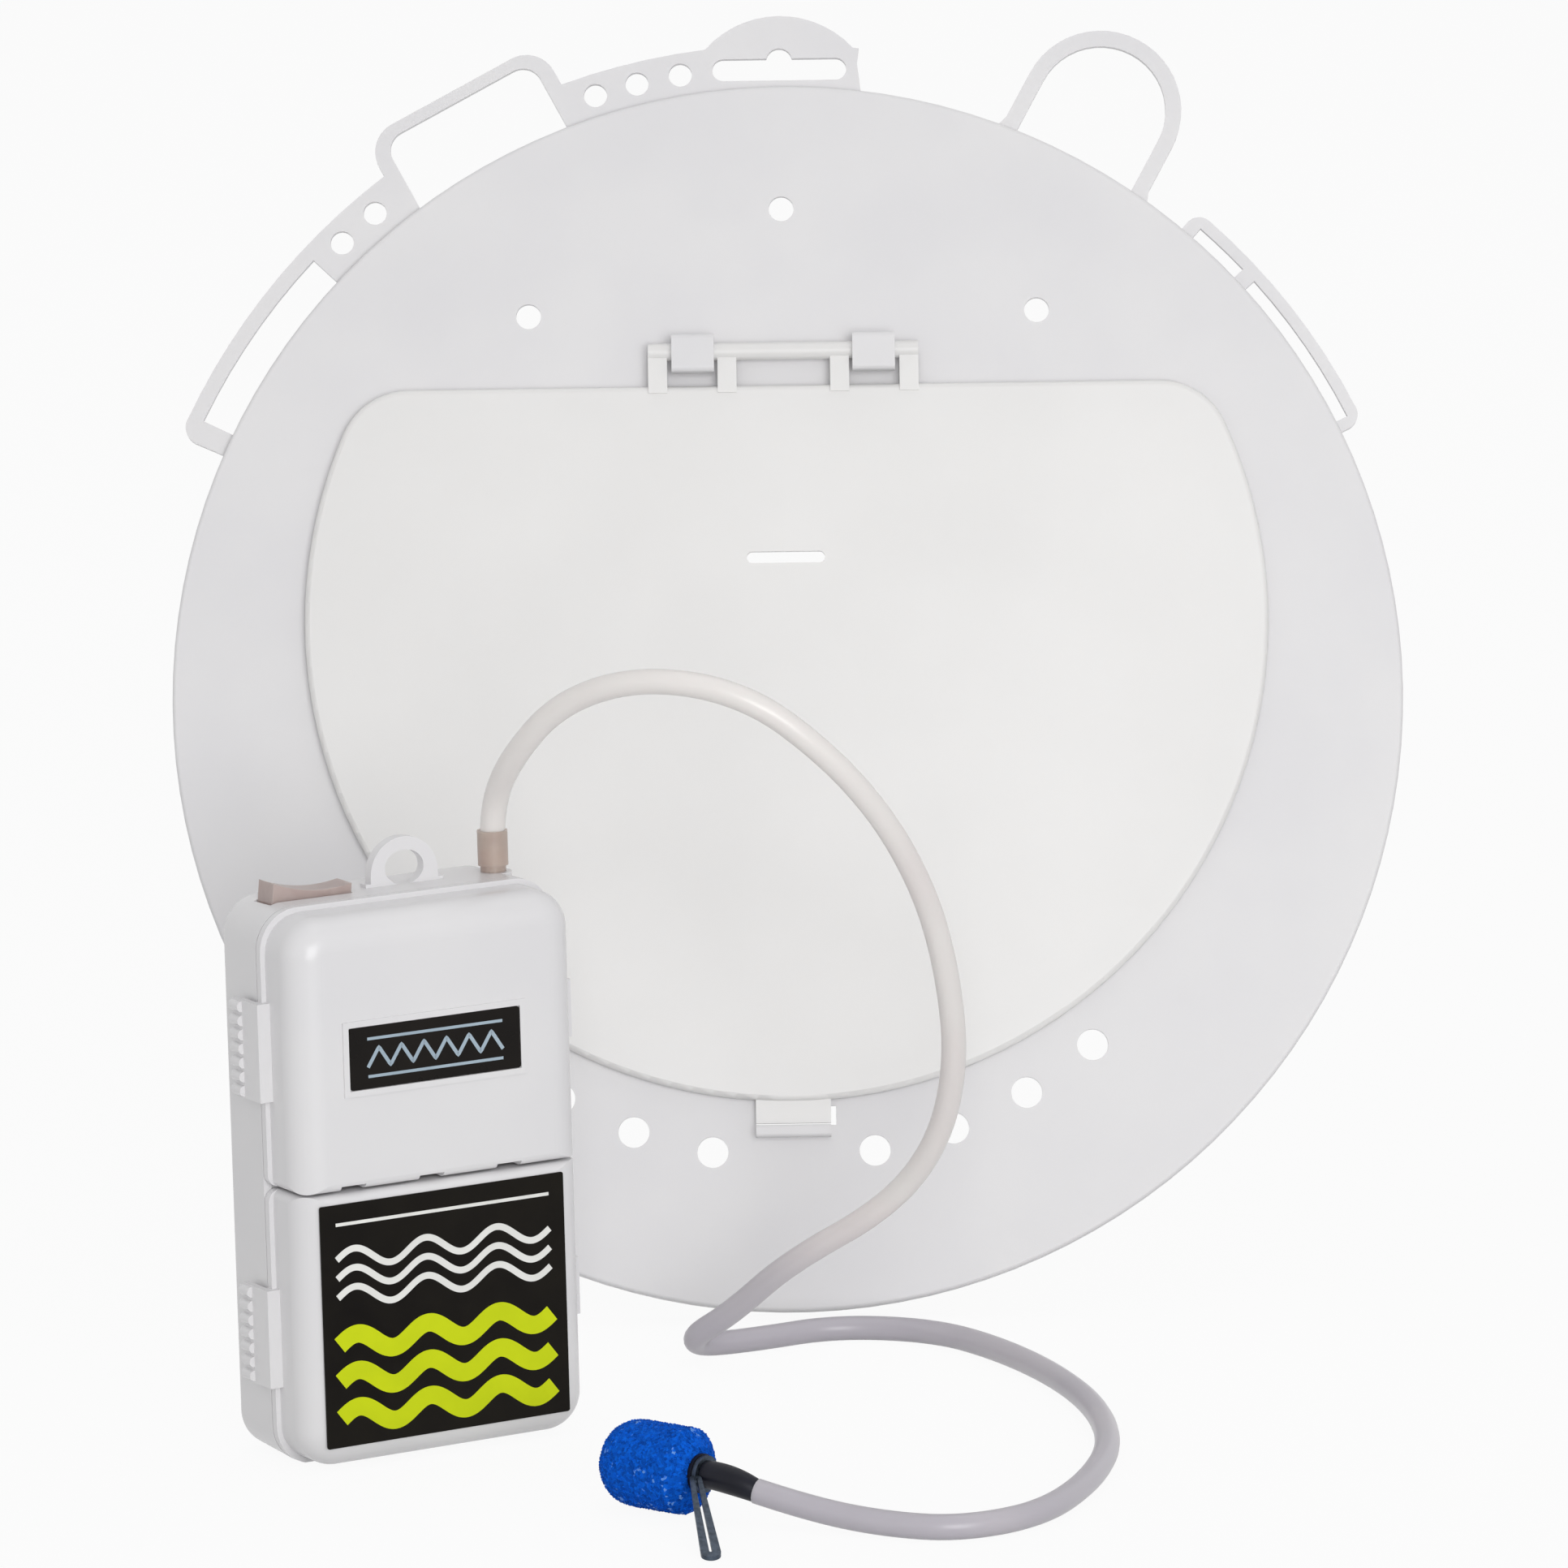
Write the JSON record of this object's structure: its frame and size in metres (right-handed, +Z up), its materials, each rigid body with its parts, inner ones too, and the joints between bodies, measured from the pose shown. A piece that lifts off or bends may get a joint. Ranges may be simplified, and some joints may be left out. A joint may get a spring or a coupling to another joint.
{
  "type": "aerated bait bucket lid and pump set",
  "caption": "Press-on pail lid with a hinged trap door, leaning upright, and a battery air pump with hose and air stone in front of it.",
  "frame": {"origin": "middle of the bounding box at floor level, measured without the hose, sleeve, stone and clip", "axes": "+Z up, -Y towards the front of the lid and pump, +X to the right"},
  "size_m": [0.31, 0.3235, 0.3193],
  "materials": {
    "lid_plastic": "moulded, satin",
    "door_plastic": "moulded, satin",
    "case_plastic": "moulded, semi-gloss",
    "print_black": "printed film",
    "badge_black": "printed film",
    "tan_rubber": "translucent",
    "hose_vinyl": "translucent",
    "black_rubber": "satin",
    "rubber_grey": "matte",
    "stone_blue": "granular",
    "clip_steel": "brushed",
    "pin_steel": "drawn",
    "contact_nickel": "plated",
    "cell_jacket": "printed jacket",
    "motor_steel": "plated",
    "nylon_black": "moulded",
    "nylon_white": "moulded",
    "brass_part": "turned",
    "wire_red_pvc": "insulation",
    "wire_black_pvc": "insulation"
  },
  "bodies": {
    "pump_and_lid": {"lid_shell": "lid_plastic", "pump_case": "case_plastic", "motor_cover_pin": "pin_steel", "battery_cover_pin": "pin_steel", "switch_housing": "nylon_black", "switch_blades": "brass_part", "outlet_barb": "nylon_white", "hose_coupler": "tan_rubber", "cell_left": "cell_jacket", "cell_right": "cell_jacket", "spring_low": "contact_nickel", "spring_high": "contact_nickel", "bridge_plate": "contact_nickel", "contact_positive": "contact_nickel", "contact_negative": "contact_nickel", "motor_can": "motor_steel", "motor_endcap": "nylon_black", "motor_strap": "motor_steel", "strap_screws": "pin_steel", "arm_pivot_pin": "pin_steel", "pump_head": "nylon_black", "valve_flap": "rubber_grey", "inner_tube": "hose_vinyl", "wire_red": "wire_red_pvc", "wire_link": "wire_red_pvc", "wire_black": "wire_black_pvc", "air_hose": "hose_vinyl", "air_stone": "stone_blue", "stone_stem": "nylon_black", "stem_washer": "black_rubber", "stem_sleeve": "black_rubber"},
    "trap_door": {"trap_door": "door_plastic"},
    "motor_cover": {"motor_cover": "case_plastic", "badge_panel": "badge_black"},
    "battery_cover": {"battery_cover": "case_plastic", "label_panel": "print_black"},
    "rocker": {"rocker_button": "tan_rubber"},
    "motor_shaft": {"motor_rotor": "motor_steel", "eccentric": "nylon_white"},
    "arm": {"pump_arm": "nylon_white", "diaphragm": "rubber_grey"},
    "clip": {"stone_clip": "clip_steel"}
  },
  "joints": [
    {"name": "trap_door_hinge", "type": "hinge", "parent": "pump_and_lid", "child": "trap_door", "pos_m": [0.00106, 0.0874, 0.23737], "axis": [-0.9999, 0.0032, 0.0118], "range_deg": [0, 170]},
    {"name": "motor_cover_hinge", "type": "hinge", "parent": "pump_and_lid", "child": "motor_cover", "pos_m": [-0.05877, -0.06267, 0.101], "axis": [0, 0, 1], "range_deg": [0, 120]},
    {"name": "battery_cover_hinge", "type": "hinge", "parent": "pump_and_lid", "child": "battery_cover", "pos_m": [-0.05877, -0.06267, 0.033], "axis": [0, 0, 1], "range_deg": [0, 110]},
    {"name": "rocker_pivot", "type": "hinge", "parent": "pump_and_lid", "child": "rocker", "pos_m": [-0.11564, -0.08858, 0.131], "axis": [-0.5, 0.866, 0], "range_deg": [-12, 0]},
    {"name": "motor_spin", "type": "hinge", "parent": "pump_and_lid", "child": "motor_shaft", "pos_m": [-0.09882, -0.08811, 0.088], "axis": [0.866, 0.5, 0], "continuous": true},
    {"name": "arm_pivot", "type": "hinge", "parent": "pump_and_lid", "child": "arm", "pos_m": [-0.06894, -0.07086, 0.0968], "axis": [-0.5, 0.866, 0], "range_deg": [-2.4, 2.4], "stiffness_Nm_per_rad": 0.05, "deforming": ["diaphragm"]},
    {"name": "clip_swivel", "type": "hinge", "parent": "pump_and_lid", "child": "clip", "pos_m": [-0.02387, -0.16525, 0.0104], "axis": [-0.7859, 0.6184, 0], "range_deg": [0, 170]}
  ]
}
